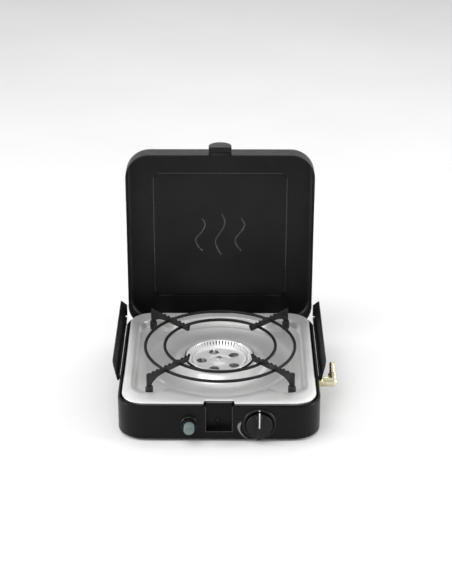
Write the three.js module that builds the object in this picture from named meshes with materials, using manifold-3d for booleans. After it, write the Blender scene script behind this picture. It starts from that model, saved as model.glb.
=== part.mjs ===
// Single-burner camping gas stove with a hinged lid, folding windshields and a lift-off pan support.
// Millimetres, +Z up, +X to the right and -Y to the front, standing on its rubber feet.
import * as THREE from "three";
import { mergeVertices } from "three/addons/utils/BufferGeometryUtils.js";
import Module from "manifold-3d";

// ---------- Driving dimensions ----------
const SHEET = 1;
const GAP = 0.3;

const CASE_HALF = 160;
const CASE_RADIUS = 42;
const CASE_HEIGHT = 57.7;
const FOOT_HEIGHT = 4;
const RIM_Z = FOOT_HEIGHT + CASE_HEIGHT;
const RIM_WIDTH = 4.5;
const FRONT_Y = -CASE_HALF;

const PLATE_HALF_X = 153.2;
const PLATE_HALF_Y = 156;
const PLATE_RADIUS = 36;
const PLATE_Z = RIM_Z + 5.1;
const PAD_DEPTH = 10;
const PAD_Z = PLATE_Z - PAD_DEPTH;

const COOK_Y = 2;
const BURNER_RADIUS = 54.4;
const BURNER_Z = PLATE_Z + 0.8;

const LID_HALF = 159.2;
const LID_RADIUS = CASE_RADIUS - CASE_HALF + LID_HALF;
const LID_DEPTH = 38;
const LID_EDGE_RADIUS = 8;
const LID_SEAT_GAP = 1.2;
const LID_OPEN_DEG = 91.6;
const LID_PANEL_HALF = 113;
const LID_PANEL_PRESS = 1.5;
const HINGE_Y = 147.2;
const HINGE_Z = RIM_Z - 15.85;
const HINGE_X = 100;
const HINGE_WIDTH = 24;

const SHIELD_AXIS_X = 162.4;
const SHIELD_AXIS_Z = RIM_Z - 0.7;
const SHIELD_HEIGHT = 32.5;
const SHIELD_FRONT_Y = -70;
const SHIELD_BACK_Y = 150;
const SHIELD_LEAN_DEG = 12;

const RING_OUTER = 122.5;
const RING_INNER = 90.7;
const WIRE_RADIUS = 2.5;
const SUPPORT_X = 1;
const SUPPORT_Y = COOK_Y - 1;
const SUPPORT_TURN_DEG = 0.7;
const RING_Z = RIM_Z + 24.4;
const FOOT_REACH = 159.6;

const KNOB_X = 63.2;
const DIAL_Z = FOOT_HEIGHT + 28.2;
const PIEZO_X = -46.6;
const RECESS_HALF = 20.4;
const RECESS_FLOOR_Z = FOOT_HEIGHT + 14;
const RECESS_BACK_Y = -144;
const INLET_Y = -24;
const INLET_Z = FOOT_HEIGHT + 28;

// ---------- Materials ----------
const material = (color, roughness, metalness) =>
  new THREE.MeshStandardMaterial({ color, roughness, metalness });
const blackCoat = () => material(0x1c1c1d, 0.45, 0.2);
const stainless = () => material(0xc9c9c6, 0.28, 1);
const zincSteel = () => material(0x9a9a96, 0.4, 1);
const blackWire = () => material(0x161616, 0.5, 0.2);
const blackPlastic = () => material(0x18181a, 0.4, 0);
const blackRubber = () => material(0x101010, 0.85, 0);
const brass = () => material(0xc8a94e, 0.3, 1);
const castAlloy = () => material(0xb4b4b0, 0.45, 1);

// ---------- Solids ----------
const wasm = await Module();
wasm.setup();
const rad = THREE.MathUtils.degToRad;

function toSolid(geometry) {
  const bare = geometry.index ? geometry.toNonIndexed() : geometry.clone();
  bare.deleteAttribute("normal");
  bare.deleteAttribute("uv");
  const merged = mergeVertices(bare, 1e-4);
  return new wasm.Manifold(
    new wasm.Mesh({
      numProp: 3,
      vertProperties: merged.attributes.position.array,
      triVerts: new Uint32Array(merged.index.array),
    }),
  );
}

function toGeometry(solid) {
  const mesh = solid.getMesh();
  return new THREE.BufferGeometry()
    .setAttribute("position", new THREE.BufferAttribute(new Float32Array(mesh.vertProperties), 3))
    .setIndex(new THREE.BufferAttribute(new Uint32Array(mesh.triVerts), 1));
}

const joined = (...geometries) =>
  toGeometry(geometries.map(toSolid).reduce((whole, piece) => whole.add(piece)));

const cut = (geometry, ...tools) =>
  toGeometry(tools.map(toSolid).reduce((rest, tool) => rest.subtract(tool), toSolid(geometry)));

// ---------- Basic shapes ----------
function box(x0, x1, y0, y1, z0, z1) {
  return new THREE.BoxGeometry(x1 - x0, y1 - y0, z1 - z0).translate(
    (x0 + x1) / 2,
    (y0 + y1) / 2,
    (z0 + z1) / 2,
  );
}

// A cylinder between two heights, standing on Z and centred on the axis.
function rodZ(radius, z0, z1, sides = 24) {
  return new THREE.CylinderGeometry(radius, radius, z1 - z0, sides)
    .rotateX(Math.PI / 2)
    .translate(0, 0, (z0 + z1) / 2);
}
const rodX = (radius, x0, x1, sides = 16) => rodZ(radius, x0, x1, sides).rotateY(Math.PI / 2);
const rodY = (radius, y0, y1, sides = 24) => rodZ(radius, -y1, -y0, sides).rotateX(Math.PI / 2);

// A closed profile of [radius, height] points turned about Z.
function turned(profile, segments = 40) {
  const points = profile.map(([r, z]) => new THREE.Vector2(r, z));
  return new THREE.LatheGeometry(points, segments).rotateX(Math.PI / 2);
}

function roundedRect(halfX, halfY, radius) {
  const outline = new THREE.Shape();
  outline.absarc(halfX - radius, halfY - radius, radius, 0, Math.PI / 2);
  outline.absarc(radius - halfX, halfY - radius, radius, Math.PI / 2, Math.PI);
  outline.absarc(radius - halfX, radius - halfY, radius, Math.PI, 1.5 * Math.PI);
  outline.absarc(halfX - radius, radius - halfY, radius, 1.5 * Math.PI, 2 * Math.PI);
  outline.closePath();
  return outline;
}

function slab(shape, z0, z1, curveSegments = 8) {
  return new THREE.ExtrudeGeometry(shape, {
    depth: z1 - z0,
    bevelEnabled: false,
    curveSegments,
  }).translate(0, 0, z0);
}

// Points of a rounded square that is inset from the given half size.
function squareRing(half, radius, inset, cornerSteps) {
  const r = Math.max(radius - inset, 6);
  const centre = half - inset - r;
  const ring = [];
  for (let corner = 0; corner < 4; corner++) {
    const start = (corner * Math.PI) / 2;
    const cx = corner === 0 || corner === 3 ? centre : -centre;
    const cy = corner < 2 ? centre : -centre;
    for (let i = 0; i <= cornerSteps; i++) {
      const angle = start + (i / cornerSteps) * (Math.PI / 2);
      ring.push([cx + r * Math.cos(angle), cy + r * Math.sin(angle)]);
    }
  }
  return ring;
}

// A pressed square form: each profile point is [inset, z], with the solid on the left of the profile
// as it runs outwards or down. An open profile is capped at both ends, and a closed one is a wall.
function pressedSquare(half, radius, profile, closed, cornerSteps = 6) {
  const positions = [];
  const triangles = [];
  const count = 4 * (cornerSteps + 1);
  for (const [inset, z] of profile)
    for (const [x, y] of squareRing(half, radius, inset, cornerSteps)) positions.push(x, y, z);
  const bands = closed ? profile.length : profile.length - 1;
  for (let band = 0; band < bands; band++) {
    const a = band * count;
    const b = ((band + 1) % profile.length) * count;
    for (let i = 0; i < count; i++) {
      const j = (i + 1) % count;
      triangles.push(a + i, b + i, a + j, a + j, b + i, b + j);
    }
  }
  if (!closed) {
    const cap = (ringStart, z, flip) => {
      const centre = positions.length / 3;
      positions.push(0, 0, z);
      for (let i = 0; i < count; i++) {
        const j = (i + 1) % count;
        if (flip) triangles.push(centre, ringStart + j, ringStart + i);
        else triangles.push(centre, ringStart + i, ringStart + j);
      }
    };
    cap(0, profile[0][1], false);
    cap((profile.length - 1) * count, profile.at(-1)[1], true);
  }
  return new THREE.BufferGeometry()
    .setAttribute("position", new THREE.Float32BufferAttribute(positions, 3))
    .setIndex(triangles)
    .toNonIndexed();
}

// A tube or rod along a curve.
function swept(points, outer, inner, steps, curveSegments = 6) {
  const section = new THREE.Shape().absarc(0, 0, outer, 0, 2 * Math.PI);
  if (inner) section.holes.push(new THREE.Path().absarc(0, 0, inner, 0, 2 * Math.PI, true));
  const extrudePath = new THREE.CatmullRomCurve3(points.map((p) => new THREE.Vector3(...p)));
  return new THREE.ExtrudeGeometry(section, { steps, extrudePath, curveSegments });
}

const stove = new THREE.Group();

function addTo(group, name, geometry, finish) {
  const mesh = new THREE.Mesh(geometry, finish);
  mesh.name = name;
  group.add(mesh);
  return mesh;
}

// ---------- Case ----------
function caseShell() {
  const wall = pressedSquare(
    CASE_HALF,
    CASE_RADIUS,
    [
      [10, FOOT_HEIGHT],
      [1.5, FOOT_HEIGHT],
      [0, FOOT_HEIGHT + 1.5],
      [0, RIM_Z - 1.5],
      [1.5, RIM_Z],
      [RIM_WIDTH, RIM_Z],
      [RIM_WIDTH, RIM_Z - SHEET],
      [SHEET, RIM_Z - 2],
      [SHEET, FOOT_HEIGHT + 2],
      [10, FOOT_HEIGHT + SHEET],
    ].reverse(),
    true,
  );
  const recess = box(-RECESS_HALF - 1.3, RECESS_HALF + 1.3, -165, -140, RECESS_FLOOR_Z - 1.3, RIM_Z + 1);
  const tools = [recess];
  tools.push(rodY(6, -165, -150).translate(KNOB_X, 0, DIAL_Z));
  tools.push(rodY(11, -165, -150).translate(PIEZO_X, 0, DIAL_Z));
  tools.push(rodX(7, 150, 165, 24).translate(0, INLET_Y, INLET_Z));
  for (const side of [-1, 1]) {
    const x = side * HINGE_X;
    tools.push(box(x - 13.5, x + 13.5, 150, 165, HINGE_Z - 12.5, RIM_Z + 1));
  }
  return cut(wall, ...tools);
}
addTo(stove, "case_shell", caseShell(), blackCoat());

function bottomPan() {
  const half = CASE_HALF - SHEET - 1.2;
  const z = FOOT_HEIGHT + 2 * SHEET + GAP;
  const pan = slab(roundedRect(half, half, CASE_RADIUS - 2.2), z, z + SHEET);
  const vents = [-60, -30, 0, 30, 60].map((x) => box(x - 4, x + 4, -30, 30, z - 1, z + 2));
  return cut(pan, ...vents);
}
addTo(stove, "bottom_pan", bottomPan(), zincSteel());

const FOOT_INSET = 38;
const quarters = [
  ["front_left", -1, -1],
  ["front_right", 1, -1],
  ["back_left", -1, 1],
  ["back_right", 1, 1],
];
for (const [corner, sx, sy] of quarters) {
  const reach = CASE_HALF - FOOT_INSET;
  const foot = turned([[0, 0], [8, 0], [9, 1], [9, FOOT_HEIGHT], [0, FOOT_HEIGHT]], 14);
  const peg = rodZ(3, FOOT_HEIGHT - 1, FOOT_HEIGHT + 1, 8);
  const mesh = addTo(stove, `rubber_foot_${corner}`, joined(foot, peg), blackRubber());
  mesh.position.set(sx * reach, sy * reach, GAP);
}

// ---------- Pressed top plate ----------
const WELL_HALF_X = 138;
const WELL_RADIUS = 138;
const LOBE_RADIUS = 30;
const LOBE_Y = 96;
const BOWL_RADIUS = 118;

// The outline of the pressed well: a circle that widens into a lobe under each support foot.
function wellSolid(inset, z0, z1) {
  const lobeX = WELL_HALF_X - LOBE_RADIUS;
  const pieces = [
    rodZ(WELL_RADIUS - inset, z0, z1, 48),
    box(inset - WELL_HALF_X, WELL_HALF_X - inset, -LOBE_Y, LOBE_Y, z0, z1),
  ];
  for (const [, sx, sy] of quarters)
    pieces.push(rodZ(LOBE_RADIUS - inset, z0, z1, 16).translate(sx * lobeX, sy * LOBE_Y, 0));
  return joined(...pieces).translate(0, COOK_Y + 1, 0);
}

function topPlate() {
  const outline = roundedRect(PLATE_HALF_X, PLATE_HALF_Y, PLATE_RADIUS);
  const inner = roundedRect(PLATE_HALF_X - SHEET, PLATE_HALF_Y - SHEET, PLATE_RADIUS - SHEET);
  const border = slab(outline, PLATE_Z - 5, PLATE_Z);
  const underside = slab(inner, PLATE_Z - 6, PLATE_Z - SHEET);
  const notch = box(-23, 23, -170, -147, PLATE_Z - 6, PLATE_Z + 1);
  const frame = cut(border, underside, notch, wellSolid(0.5, PLATE_Z - 6, PLATE_Z + 1));
  const notchSkirt = joined(
    box(-23, 23, -147, -146, PLATE_Z - 5, PLATE_Z - 0.5),
    box(-24, -23, -155.5, -146, PLATE_Z - 5, PLATE_Z - 0.5),
    box(23, 24, -155.5, -146, PLATE_Z - 5, PLATE_Z - 0.5),
  );
  const wellFloor = cut(
    wellSolid(0, PAD_Z - SHEET, PLATE_Z - 0.5),
    wellSolid(SHEET, PAD_Z, PLATE_Z + 1),
    rodZ(BOWL_RADIUS - 1, PAD_Z - 3, PAD_Z + 1, 40).translate(0, COOK_Y, 0),
  );
  const bowl = turned(
    [
      [BOWL_RADIUS, PAD_Z - SHEET],
      [BOWL_RADIUS, PAD_Z],
      [100, PAD_Z - 3],
      [82, PAD_Z - 4],
      [72, PAD_Z - 2],
      [BURNER_RADIUS + 3, BURNER_Z - 2.5],
      [BURNER_RADIUS + 3, BURNER_Z - 4],
      [71.5, PAD_Z - 3.2],
      [82, PAD_Z - 5.2],
      [100, PAD_Z - 4.1],
      [BOWL_RADIUS, PAD_Z - SHEET],
    ],
    40,
  ).translate(0, COOK_Y, 0);
  return joined(frame, notchSkirt, wellFloor, bowl);
}
addTo(stove, "top_plate", topPlate(), stainless());

// ---------- Burner ----------
const CROWN_SIDES = 36;
const burner = new THREE.Group();
burner.position.set(0, COOK_Y, 0);
stove.add(burner);

// The crown is a hollow ring that is open underneath, where the gas comes in.
function burnerCrown() {
  const top = BURNER_Z;
  const ring = turned(
    [
      [44, top - 11],
      [BURNER_RADIUS + 1.5, top - 11],
      [BURNER_RADIUS + 1.5, top - 3],
      [BURNER_RADIUS, top - 0.6],
      [BURNER_RADIUS - 2, top],
      [48.5, top],
      [47, top - 1],
      [44, top - 6],
      [44, top - 11],
    ],
    CROWN_SIDES,
  );
  const channel = turned(
    [
      [47.5, top - 12],
      [52.5, top - 12],
      [52.5, top - 3],
      [49, top - 3],
      [47.5, top - 5],
      [47.5, top - 12],
    ],
    CROWN_SIDES,
  );
  return cut(ring, channel);
}
addTo(burner, "burner_crown", burnerCrown(), stainless());

function burnerBody() {
  const top = BURNER_Z - 11.3;
  return turned(
    [
      [0, top - 22],
      [22, top - 22],
      [50, top - 5],
      [54, top - 4],
      [54, top],
      [43, top],
      [43, top - 3],
      [22, top - 19],
      [0, top - 19],
    ],
    28,
  );
}
const BODY_FLOOR_Z = BURNER_Z - 30.3;
const MIXER_Z = BODY_FLOOR_Z + 1;
const mixerSocket = rodY(8, -60, -14, 20).translate(0, 0, MIXER_Z + 2);
const mixerBore = rodY(5.8, -61, 4, 20).translate(0, 0, MIXER_Z + 2);
addTo(burner, "burner_body", cut(joined(burnerBody(), mixerSocket), mixerBore), castAlloy());

const DISH_HOLES = 5;
const DISH_HOLE_REACH = 27.5;
const dishHoleTurn = (i) => rad(37) + (i * 2 * Math.PI) / DISH_HOLES;
function burnerDish() {
  const rim = BURNER_Z - 7;
  const dish = turned(
    [
      [0, rim - 2],
      [9, rim - 2.5],
      [16, rim - 6],
      [37, rim - 6],
      [41, rim - 3],
      [43.4, rim],
      [42.4, rim],
      [40.4, rim - 4],
      [36.6, rim - 7],
      [15.4, rim - 7],
      [8.4, rim - 3.5],
      [0, rim - 3],
    ].reverse(),
    30,
  );
  const openings = [];
  for (let i = 0; i < DISH_HOLES; i++) {
    const hole = rodZ(8.4, rim - 12, rim + 1, 14).translate(DISH_HOLE_REACH, 0, 0);
    openings.push(hole.rotateZ(dishHoleTurn(i)));
  }
  return cut(dish, ...openings);
}
addTo(burner, "burner_dish", burnerDish(), stainless());

function panHeadScrew(headRadius, headHeight, shankRadius, length) {
  const profile = [
    [0, -length],
    [shankRadius, -length],
    [shankRadius, 0],
    [headRadius, 0],
    [headRadius, headHeight * 0.5],
    [headRadius * 0.6, headHeight],
    [0, headHeight],
  ];
  const slot = box(-headRadius, headRadius, -0.5, 0.5, headHeight * 0.6, headHeight + 1);
  return cut(turned(profile, 16), slot);
}
addTo(burner, "dish_screw", panHeadScrew(4.5, 2.6, 2, 0.6), zincSteel()).position.z = BURNER_Z - 8;

const probe = (height) => turned([[0, 0], [1.6, 0], [1.6, height - 1], [0.8, height], [0, height]], 12);
function addProbe(name, height, holeIndex, finish) {
  const turn = dishHoleTurn(holeIndex);
  const reach = new THREE.Vector2(Math.cos(turn), Math.sin(turn)).multiplyScalar(DISH_HOLE_REACH);
  addTo(burner, name, probe(height), finish).position.set(reach.x, reach.y, BURNER_Z - 19);
}
addProbe("thermocouple", 15, 1, stainless());
addProbe("spark_electrode", 13, 2, material(0xe6e1d6, 0.4, 0));

// ---------- Gas path ----------
const VALVE_BACK_Y = -108;
const valveBody = joined(
  rodY(9, -150, VALVE_BACK_Y, 20),
  rodY(5, VALVE_BACK_Y - 1, VALVE_BACK_Y + 8, 16),
  rodX(6, 8, 20, 16).translate(0, -128, 0),
);
const stemBore = rodY(4.4, -151, -126, 20);
addTo(stove, "gas_valve", cut(valveBody, stemBore), brass()).position.set(KNOB_X, 0, DIAL_Z);

const jet = joined(rodY(4, VALVE_BACK_Y + 8.3, VALVE_BACK_Y + 13, 6), rodY(2, -96, -92, 12));
addTo(stove, "gas_jet", jet, brass()).position.set(KNOB_X, 0, DIAL_Z);

const mixingTube = swept(
  [
    [KNOB_X, -90, DIAL_Z],
    [KNOB_X - 3, -84, DIAL_Z],
    [32, -76, MIXER_Z + 2],
    [2, -70, MIXER_Z + 2],
    [0, -61, MIXER_Z + 2],
  ],
  8,
  6.4,
  12,
);
addTo(stove, "mixing_tube", mixingTube, zincSteel());

const gasPipe = swept(
  [
    [KNOB_X + 20.8, -128, DIAL_Z],
    [KNOB_X + 45, -124, DIAL_Z],
    [128, -60, INLET_Z],
    [140, -26, INLET_Z],
    [148.5, INLET_Y, INLET_Z],
  ],
  3,
  0,
  14,
  4,
);
addTo(stove, "gas_pipe", gasPipe, brass());

const inletStub = cut(rodX(6.5, 149, 176, 24), rodX(3, 148, 177, 16));
addTo(stove, "inlet_stub", inletStub, brass()).position.set(0, INLET_Y, INLET_Z);

const inletNut = cut(rodX(10, 160.4, 167.4, 6), rodX(6.9, 160, 168, 24));
addTo(stove, "inlet_nut", inletNut, brass()).position.set(0, INLET_Y, INLET_Z);

const ELBOW_RADIUS = 8.6;
const BARB_X = 185;
const BARB_TILT_DEG = 60;
const elbow = new THREE.Group();
elbow.position.set(BARB_X, INLET_Y, INLET_Z);
elbow.rotation.x = rad(BARB_TILT_DEG - 90);
stove.add(elbow);

function elbowBody() {
  const barrel = rodX(ELBOW_RADIUS, 168 - BARB_X, 0, 20);
  const end = new THREE.SphereGeometry(ELBOW_RADIUS, 20, 12).rotateZ(Math.PI / 2);
  const neck = rodZ(6.5, 0, 13, 24);
  return cut(
    joined(barrel, end, neck),
    rodX(6.9, 167 - BARB_X, 176.5 - BARB_X, 24),
    rodX(3, 176 - BARB_X, 0, 16),
    rodZ(3, 0, 14, 16),
  );
}
addTo(elbow, "inlet_elbow", elbowBody(), brass());

function hoseBarb() {
  const start = 13.3;
  const profile = [[2.5, start], [4.6, start]];
  for (let ridge = 0; ridge < 3; ridge++) {
    const z = start + 2 + ridge * 5.2;
    profile.push([4.1, z], [5.2, z + 0.8], [4.1, z + 5]);
  }
  profile.push([3.6, 32], [2.5, 32], [2.5, start]);
  return turned(profile, 16);
}
addTo(elbow, "hose_barb", hoseBarb(), brass());

// ---------- Front controls ----------
const dialRing = cut(rodY(26.7, FRONT_Y - 3.3, FRONT_Y - GAP, 32), rodY(22, -165, -159, 32));
addTo(stove, "knob_bezel", dialRing, blackPlastic()).position.set(KNOB_X, 0, DIAL_Z);

const stem = rodY(4, -167, -134, 20);
addTo(stove, "valve_stem", stem, brass()).position.set(KNOB_X, 0, DIAL_Z);

const GRIP_HALF = 22.5;
function gasKnob() {
  const disc = rodY(20.5, -168.5, -164, 32);
  const bar = roundedRect(5.5, GRIP_HALF, 5.4);
  const grip = slab(bar, 166.6, 175, 6).rotateX(Math.PI / 2);
  const stemSocket = rodY(4.4, -167.4, -163, 20);
  const pointerSlot = box(-1.2, 1.2, -176, -174.2, 0, 21);
  return cut(joined(disc, grip), stemSocket, pointerSlot);
}
addTo(stove, "gas_knob", gasKnob(), blackPlastic()).position.set(KNOB_X, 0, DIAL_Z);
const pointer = box(-0.9, 0.9, -175.1, -174.5, 0.3, 20.7);
addTo(stove, "knob_pointer", pointer, material(0xf0f0ee, 0.5, 0)).position.set(KNOB_X, 0, DIAL_Z);

const piezoBody = cut(joined(rodY(10.5, -170, -156), rodY(12.5, -158.6, -118)), rodY(8.7, -171, -128));
addTo(stove, "piezo_igniter", piezoBody, blackPlastic()).position.set(PIEZO_X, 0, DIAL_Z);
const piezoRing = cut(rodY(13.5, FRONT_Y - 3.3, FRONT_Y - GAP), rodY(10.8, -165, -159));
addTo(stove, "piezo_bezel", piezoRing, blackPlastic()).position.set(PIEZO_X, 0, DIAL_Z);
const piezoCap = rodY(8.3, -182, -140);
addTo(stove, "piezo_button", piezoCap, material(0x6e7d7d, 0.45, 0)).position.set(PIEZO_X, 0, DIAL_Z);

function recessCup() {
  const top = RIM_Z - 0.5;
  const outer = box(-RECESS_HALF - 1, RECESS_HALF + 1, -159.7, RECESS_BACK_Y + 1, RECESS_FLOOR_Z - 1, top);
  const inner = box(-RECESS_HALF, RECESS_HALF, -162, RECESS_BACK_Y, RECESS_FLOOR_Z, top + 1);
  return cut(outer, inner);
}
addTo(stove, "recess_cup", recessCup(), blackCoat());
const STUD_Z = FOOT_HEIGHT + 25;
addTo(
  stove,
  "catch_stud",
  turned([[0, 0], [4, 0], [4.2, 1.5], [3, 2.6], [0, 2.6]], 20).rotateX(Math.PI / 2),
  blackPlastic(),
).position.set(-2, RECESS_BACK_Y - GAP, STUD_Z);

// ---------- Hinges ----------
const EAR_HALF = HINGE_WIDTH / 2 + 0.6;
function hingeBracket() {
  const lower = HINGE_Z - 32;
  const ear = (x) => box(x, x + 2, 142, 158.6, lower, HINGE_Z + 6);
  const base = box(-EAR_HALF - 2, EAR_HALF + 2, 156.6, 158.6, lower, HINGE_Z - 13);
  return cut(joined(ear(EAR_HALF), ear(-EAR_HALF - 2), base), axleX(2.3, EAR_HALF + 3));
}
const axleX = (radius, half) => rodX(radius, -half, half).translate(0, HINGE_Y, HINGE_Z);
function hingePin() {
  const head = rodX(3.4, 0, 1.5).translate(EAR_HALF + 2.3, HINGE_Y, HINGE_Z);
  const tail = rodX(3.4, -1.5, 0).translate(-EAR_HALF - 2.3, HINGE_Y, HINGE_Z);
  return joined(axleX(2, EAR_HALF + 2.5), head, tail);
}
for (const [side, sx] of [["left", -1], ["right", 1]]) {
  addTo(stove, `hinge_bracket_${side}`, hingeBracket(), zincSteel()).position.x = sx * HINGE_X;
  addTo(stove, `hinge_pin_${side}`, hingePin(), zincSteel()).position.x = sx * HINGE_X;
}

// ---------- Lid, modelled closed with the hinge axis as its origin, then opened ----------
const lid = new THREE.Group();
lid.position.set(0, HINGE_Y, HINGE_Z);
lid.rotation.x = -rad(LID_OPEN_DEG);
stove.add(lid);
const LID_RIM = RIM_Z + LID_SEAT_GAP - HINGE_Z;
const LID_TOP = LID_RIM + LID_DEPTH;
const lidY = (y) => y - HINGE_Y;

function lidShell() {
  const panelInset = LID_HALF - LID_PANEL_HALF;
  const edge = [];
  for (let i = 0; i <= 4; i++) {
    const angle = (i / 4) * (Math.PI / 2);
    const inset = LID_EDGE_RADIUS * (1 - Math.sin(angle));
    edge.push([inset, LID_TOP - LID_EDGE_RADIUS * (1 - Math.cos(angle))]);
  }
  const profile = [
    [panelInset + 3, LID_TOP - LID_PANEL_PRESS],
    [panelInset, LID_TOP],
    ...edge,
    [0, LID_RIM],
    [SHEET, LID_RIM],
    ...edge.map(([inset, z]) => [Math.max(inset, SHEET), z - SHEET]).reverse(),
    [panelInset + 1, LID_TOP - SHEET],
    [panelInset + 4, LID_TOP - SHEET - LID_PANEL_PRESS],
  ];
  const shell = pressedSquare(LID_HALF, LID_RADIUS, profile, false).translate(0, lidY(0), 0);
  const catchNotch = box(-17.5, 17.5, lidY(-162), lidY(-157), LID_RIM - 1, LID_RIM + 3.2);
  const shieldNotch = (x0, x1) => box(x0, x1, lidY(-76), lidY(115), LID_RIM - 1, LID_RIM + 4.5);
  return cut(shell, catchNotch, shieldNotch(-161, -157), shieldNotch(157, 161));
}
addTo(lid, "lid_shell", lidShell(), blackCoat());

// The leaf stands against the lid's back wall and curls round the pin at the axis.
function hingeLeaf() {
  const half = HINGE_WIDTH / 2;
  const outerFace = LID_HALF - SHEET - GAP - HINGE_Y;
  const standing = box(-half, half, outerFace - 1.2, outerFace, -1, LID_RIM + 24);
  const web = box(-half, half, 2.5, outerFace, -1, 1);
  return cut(joined(standing, web, rodX(4.2, -half, half)), rodX(2.3, -half - 1, half + 1));
}
for (const [side, sx] of [["left", -1], ["right", 1]])
  addTo(lid, `hinge_leaf_${side}`, hingeLeaf(), zincSteel()).position.x = sx * HINGE_X;

const CATCH_AXIS_Y = lidY(-160.6);
const CATCH_AXIS_Z = LID_RIM - 0.7;
const LUG_X = 15;
const catchAxle = (radius, x0, x1) => rodX(radius, x0, x1).translate(0, CATCH_AXIS_Y, CATCH_AXIS_Z);
function catchBracket() {
  const plate = box(-17, 17, lidY(-157.9), lidY(-156.4), LID_RIM - 1, LID_RIM + 18);
  const lugs = [-LUG_X, LUG_X].flatMap((x) => [
    box(x - 1, x + 1, CATCH_AXIS_Y, lidY(-157), CATCH_AXIS_Z, LID_RIM + 1.6),
    catchAxle(2.6, x - 1, x + 1),
  ]);
  return cut(joined(plate, ...lugs), catchAxle(1.8, -18, 18));
}
addTo(lid, "catch_bracket", catchBracket(), zincSteel());
addTo(lid, "catch_pin", catchAxle(1.5, -16.4, 16.4), zincSteel());

const CATCH_HALF = 19;
function lidCatch() {
  const outline = new THREE.Shape();
  outline.moveTo(-CATCH_HALF, 1);
  outline.lineTo(CATCH_HALF, 1);
  outline.lineTo(CATCH_HALF, 9);
  outline.absarc(0, 9, CATCH_HALF, 0, Math.PI);
  const block = slab(outline, -1, 12.4, 16).rotateX(Math.PI / 2);
  block.translate(0, CATCH_AXIS_Y, CATCH_AXIS_Z);
  const pocket = box(-11, 11, CATCH_AXIS_Y - 10.5, CATCH_AXIS_Y - 4, CATCH_AXIS_Z, CATCH_AXIS_Z + 16);
  const clearances = [-1, 1].map((side) =>
    catchAxle(3.1, Math.min(side * 13.6, side * 20), Math.max(side * 13.6, side * 20)),
  );
  const body = joined(block, catchAxle(2.6, -13.5, 13.5));
  return cut(body, catchAxle(1.8, -14, 14), pocket, ...clearances);
}
addTo(lid, "lid_catch", lidCatch(), blackPlastic());

// ---------- Windshields ----------
const KNUCKLE_RADIUS = 2;
const SHIELD_LUGS = [-58, 128];
function windshield() {
  const length = SHIELD_BACK_Y - SHIELD_FRONT_Y;
  const panel = new THREE.Shape();
  panel.moveTo(0, 0);
  panel.lineTo(length, 0);
  panel.lineTo(length, SHIELD_HEIGHT);
  panel.lineTo(5, SHIELD_HEIGHT);
  panel.lineTo(0, SHIELD_HEIGHT - 6);
  const sheet = slab(panel, 0, SHEET).rotateX(Math.PI / 2).rotateZ(Math.PI / 2);
  sheet.translate(SHEET, SHIELD_FRONT_Y, 0);
  const roll = rodY(KNUCKLE_RADIUS, SHIELD_FRONT_Y, SHIELD_BACK_Y - 2, 14);
  const lugGaps = SHIELD_LUGS.map((y) => box(-3, 3, y - 3, y + 3, -3, 4.4));
  return cut(joined(sheet, roll), rodY(1.3, SHIELD_FRONT_Y - 1, SHIELD_BACK_Y + 1, 12), ...lugGaps);
}

// The back end of a windshield returns inwards to meet the side of the open lid.
function backReturn() {
  const lean = Math.tan(rad(SHIELD_LEAN_DEG));
  const flap = new THREE.Shape();
  flap.moveTo(1.5, 3);
  flap.lineTo(1.5, SHIELD_HEIGHT);
  flap.lineTo(0.6, SHIELD_HEIGHT);
  flap.lineTo(-2.3 - 23 * lean, 23);
  flap.lineTo(-2.3 - 3 * lean, 3);
  return slab(flap, 0, SHEET).rotateX(Math.PI / 2).translate(0, SHIELD_BACK_Y, 0);
}

const mirrorX = (geometry) => {
  const mirrored = geometry.clone().scale(-1, 1, 1);
  const index = mirrored.index.array;
  for (let i = 0; i < index.length; i += 3) [index[i + 1], index[i + 2]] = [index[i + 2], index[i + 1]];
  return mirrored;
};

const rightShield = joined(windshield(), backReturn());
for (const [side, sx] of [["left", -1], ["right", 1]]) {
  const shield = addTo(
    stove,
    `windshield_${side}`,
    sx > 0 ? rightShield : mirrorX(rightShield),
    blackCoat(),
  );
  shield.position.set(sx * SHIELD_AXIS_X, 0, SHIELD_AXIS_Z);
  shield.rotation.y = sx * rad(SHIELD_LEAN_DEG);
  const wire = rodY(1, SHIELD_FRONT_Y + 1, SHIELD_BACK_Y - 3, 12);
  addTo(stove, `windshield_wire_${side}`, wire, zincSteel()).position.set(
    sx * SHIELD_AXIS_X,
    0,
    SHIELD_AXIS_Z,
  );
  for (const [i, place] of ["front", "back"].entries()) {
    const y = SHIELD_LUGS[i];
    const x0 = CASE_HALF + GAP - SHIELD_AXIS_X;
    const block = box(sx > 0 ? x0 : -2, sx > 0 ? 2 : -x0, y - 2.5, y + 2.5, -4, 2);
    const lug = cut(block, rodY(1.3, y - 4, y + 4, 12));
    addTo(stove, `shield_lug_${side}_${place}`, lug, blackCoat()).position.set(
      sx * SHIELD_AXIS_X,
      0,
      SHIELD_AXIS_Z,
    );
  }
}

// ---------- Pan support ----------
const support = new THREE.Group();
support.position.set(SUPPORT_X, SUPPORT_Y, 0);
support.rotation.z = rad(SUPPORT_TURN_DEG);
stove.add(support);

function wireRing(radius, wire, segments = 48, sides = 8) {
  return new THREE.TorusGeometry(radius, wire, sides, segments).translate(0, 0, RING_Z);
}
addTo(support, "ring_outer", wireRing(RING_OUTER, WIRE_RADIUS), blackWire());
addTo(support, "ring_inner", wireRing(RING_INNER, WIRE_RADIUS), blackWire());

const BLADE_INNER = 72;
const BLADE_OUTER = 164;
const BLADE_TOP = RIM_Z + 34;
const BLADE_LOW = RING_Z;
const BLADE_THICK = 3;
const TOOTH_PITCH = 9;
const TOOTH_DEPTH = 2.2;

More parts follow.
